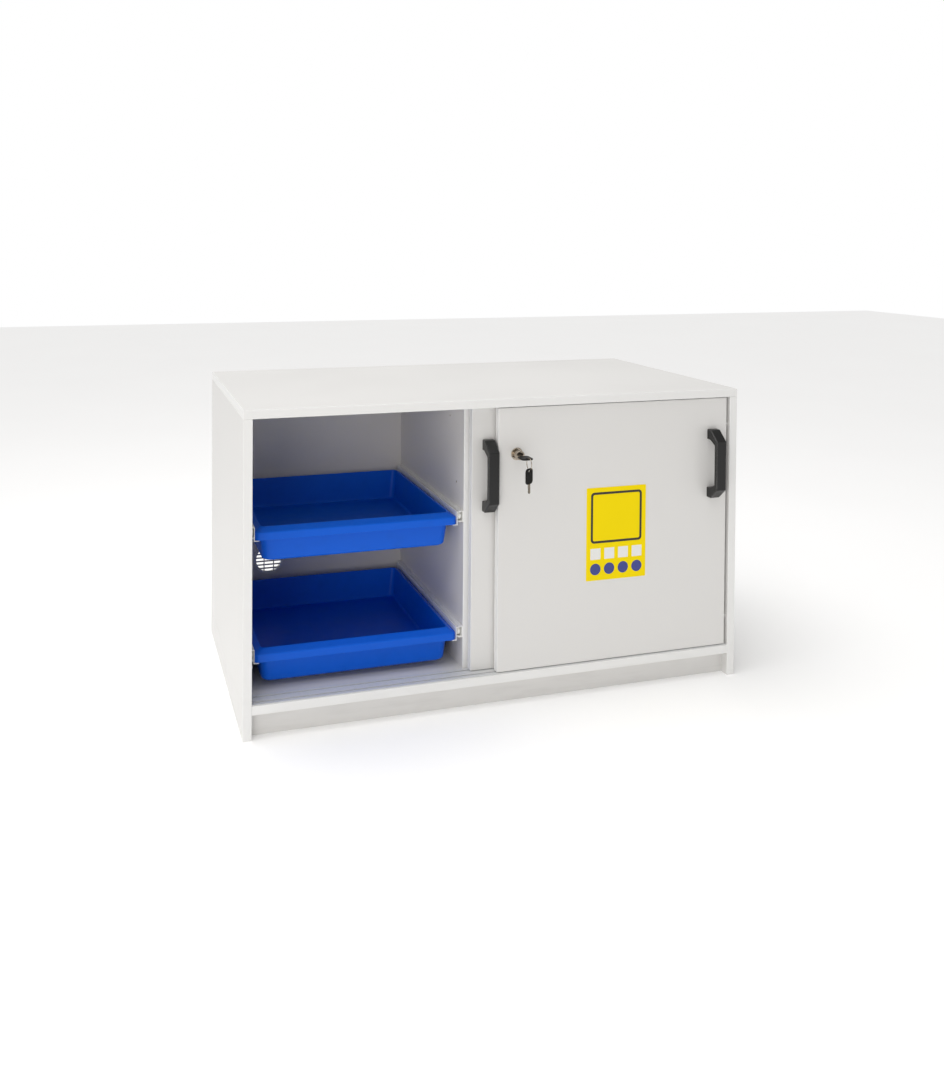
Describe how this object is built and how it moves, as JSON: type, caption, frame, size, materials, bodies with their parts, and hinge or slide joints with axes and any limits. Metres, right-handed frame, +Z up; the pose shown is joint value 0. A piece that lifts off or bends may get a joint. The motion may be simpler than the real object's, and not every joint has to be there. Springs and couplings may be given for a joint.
{
  "type": "under-bench safety cabinet",
  "caption": "Low white under-bench safety cabinet with sliding doors, push lock and pull-out spill trays.",
  "frame": {"origin": "on the floor, in the middle of the width and of the whole depth from the key ring to the rear edges", "axes": "+X to the right seen from the front, +Y to the back, +Z up"},
  "size_m": [1.1, 0.643, 0.644],
  "materials": {
    "laminated_board": "white melamine laminate, satin",
    "white_plastic": "moulded, satin",
    "track_plastic": "extruded, satin",
    "buffer_rubber": "soft",
    "nylon": "moulded nylon",
    "black_plastic": "fine grained",
    "zinc_steel": "zinc plated",
    "nickel": "nickel plated",
    "sign_yellow": "printed sheet",
    "tray_plastic": "moulded polypropylene, semi-gloss",
    "coated_steel": "white epoxy coating"
  },
  "bodies": {
    "carcass": {"top_panel": "laminated_board", "left_side_panel": "laminated_board", "right_side_panel": "laminated_board", "bottom_panel": "laminated_board", "back_panel": "laminated_board", "plinth_board": "laminated_board", "left_partition": "laminated_board", "right_partition": "laminated_board", "left_vent_grille": "white_plastic", "right_vent_grille": "white_plastic", "bottom_door_track": "track_plastic", "top_door_track": "track_plastic", "door_buffers": "buffer_rubber", "upper_left_cabinet_rails": "coated_steel", "upper_right_cabinet_rails": "coated_steel", "lower_left_cabinet_rails": "coated_steel", "lower_right_cabinet_rails": "coated_steel"},
    "left_door": {"left_door": "laminated_board", "left_door_glides": "nylon", "left_door_guides": "nylon", "left_door_handle": "black_plastic", "left_door_handle_screws": "zinc_steel", "lock_strike": "nickel"},
    "right_door": {"right_door": "laminated_board", "right_door_glides": "nylon", "right_door_guides": "nylon", "right_door_handle": "black_plastic", "right_door_handle_screws": "zinc_steel", "sign_plate": "sign_yellow", "lock_rosette": "nickel", "lock_body": "nickel"},
    "lock_plunger": {"lock_plunger": "nickel"},
    "key": {"lock_plug": "nickel", "key_blade": "nickel", "key_head": "black_plastic"},
    "key_ring": {"key_ring": "nickel"},
    "spare_key": {"spare_key_blade": "nickel", "spare_key_head": "black_plastic"},
    "upper_left_tray": {"upper_left_tray": "tray_plastic", "upper_left_drawer_rails": "coated_steel"},
    "upper_left_front_rollers": {"upper_left_front_rollers": "nylon"},
    "upper_left_rear_rollers": {"upper_left_rear_rollers": "nylon"},
    "upper_right_tray": {"upper_right_tray": "tray_plastic", "upper_right_drawer_rails": "coated_steel"},
    "upper_right_front_rollers": {"upper_right_front_rollers": "nylon"},
    "upper_right_rear_rollers": {"upper_right_rear_rollers": "nylon"},
    "lower_left_tray": {"lower_left_tray": "tray_plastic", "lower_left_drawer_rails": "coated_steel"},
    "lower_left_front_rollers": {"lower_left_front_rollers": "nylon"},
    "lower_left_rear_rollers": {"lower_left_rear_rollers": "nylon"},
    "lower_right_tray": {"lower_right_tray": "tray_plastic", "lower_right_drawer_rails": "coated_steel"},
    "lower_right_front_rollers": {"lower_right_front_rollers": "nylon"},
    "lower_right_rear_rollers": {"lower_right_rear_rollers": "nylon"}
  },
  "joints": [
    {"name": "left_door_slide", "type": "slide", "parent": "carcass", "child": "left_door", "axis": [1, 0, 0], "range_m": [-0.4545, 0]},
    {"name": "right_door_slide", "type": "slide", "parent": "carcass", "child": "right_door", "axis": [1, 0, 0], "range_m": [-0.0025, 0]},
    {"name": "lock_push", "type": "slide", "parent": "right_door", "child": "lock_plunger", "axis": [0, 1, 0], "range_m": [0, 0.005], "stiffness_N_per_m": 400, "springref_m": -0.005},
    {"name": "key_turn", "type": "hinge", "parent": "lock_plunger", "child": "key", "pos_m": [0.02, -0.2645, 0.527], "axis": [0, 1, 0], "range_deg": [0, 90]},
    {"name": "ring_swing", "type": "hinge", "parent": "key", "child": "key_ring", "pos_m": [0.02, -0.2995, 0.527], "axis": [0, 0.6428, -0.766], "range_deg": [-25, 25]},
    {"name": "spare_key_swing", "type": "hinge", "parent": "key_ring", "child": "spare_key", "pos_m": [0.02, -0.3087, 0.50729], "axis": [0, 1, 0], "range_deg": [-30, 30]},
    {"name": "upper_left_tray_slide", "type": "slide", "parent": "carcass", "child": "upper_left_tray", "axis": [0, -1, 0], "range_m": [0, 0.335]},
    {"name": "upper_left_front_rollers_spin", "type": "hinge", "parent": "carcass", "child": "upper_left_front_rollers", "pos_m": [-0.3065, -0.1845, 0.3902], "axis": [1, 0, 0], "range_deg": [0, 2270]},
    {"name": "upper_left_rear_rollers_spin", "type": "hinge", "parent": "upper_left_tray", "child": "upper_left_rear_rollers", "pos_m": [-0.3065, 0.2415, 0.3893], "axis": [1, 0, 0], "range_deg": [0, 2270]},
    {"name": "upper_right_tray_slide", "type": "slide", "parent": "carcass", "child": "upper_right_tray", "axis": [0, -1, 0], "range_m": [0, 0.008]},
    {"name": "upper_right_front_rollers_spin", "type": "hinge", "parent": "carcass", "child": "upper_right_front_rollers", "pos_m": [0.3065, -0.1845, 0.3902], "axis": [1, 0, 0], "range_deg": [0, 60]},
    {"name": "upper_right_rear_rollers_spin", "type": "hinge", "parent": "upper_right_tray", "child": "upper_right_rear_rollers", "pos_m": [0.3065, 0.2415, 0.3893], "axis": [1, 0, 0], "range_deg": [0, 60]},
    {"name": "lower_left_tray_slide", "type": "slide", "parent": "carcass", "child": "lower_left_tray", "axis": [0, -1, 0], "range_m": [0, 0.335]},
    {"name": "lower_left_front_rollers_spin", "type": "hinge", "parent": "carcass", "child": "lower_left_front_rollers", "pos_m": [-0.3065, -0.1845, 0.1452], "axis": [1, 0, 0], "range_deg": [0, 2270]},
    {"name": "lower_left_rear_rollers_spin", "type": "hinge", "parent": "lower_left_tray", "child": "lower_left_rear_rollers", "pos_m": [-0.3065, 0.2415, 0.1443], "axis": [1, 0, 0], "range_deg": [0, 2270]},
    {"name": "lower_right_tray_slide", "type": "slide", "parent": "carcass", "child": "lower_right_tray", "axis": [0, -1, 0], "range_m": [0, 0.008]},
    {"name": "lower_right_front_rollers_spin", "type": "hinge", "parent": "carcass", "child": "lower_right_front_rollers", "pos_m": [0.3065, -0.1845, 0.1452], "axis": [1, 0, 0], "range_deg": [0, 60]},
    {"name": "lower_right_rear_rollers_spin", "type": "hinge", "parent": "lower_right_tray", "child": "lower_right_rear_rollers", "pos_m": [0.3065, 0.2415, 0.1443], "axis": [1, 0, 0], "range_deg": [0, 60]}
  ],
  "couplings": [
    {"joint": "upper_left_front_rollers_spin", "follows": "upper_left_tray_slide", "rad_per_m": 117.65},
    {"joint": "upper_left_rear_rollers_spin", "follows": "upper_left_tray_slide", "rad_per_m": 117.65},
    {"joint": "upper_right_front_rollers_spin", "follows": "upper_right_tray_slide", "rad_per_m": 117.65},
    {"joint": "upper_right_rear_rollers_spin", "follows": "upper_right_tray_slide", "rad_per_m": 117.65},
    {"joint": "lower_left_front_rollers_spin", "follows": "lower_left_tray_slide", "rad_per_m": 117.65},
    {"joint": "lower_left_rear_rollers_spin", "follows": "lower_left_tray_slide", "rad_per_m": 117.65},
    {"joint": "lower_right_front_rollers_spin", "follows": "lower_right_tray_slide", "rad_per_m": 117.65},
    {"joint": "lower_right_rear_rollers_spin", "follows": "lower_right_tray_slide", "rad_per_m": 117.65}
  ]
}
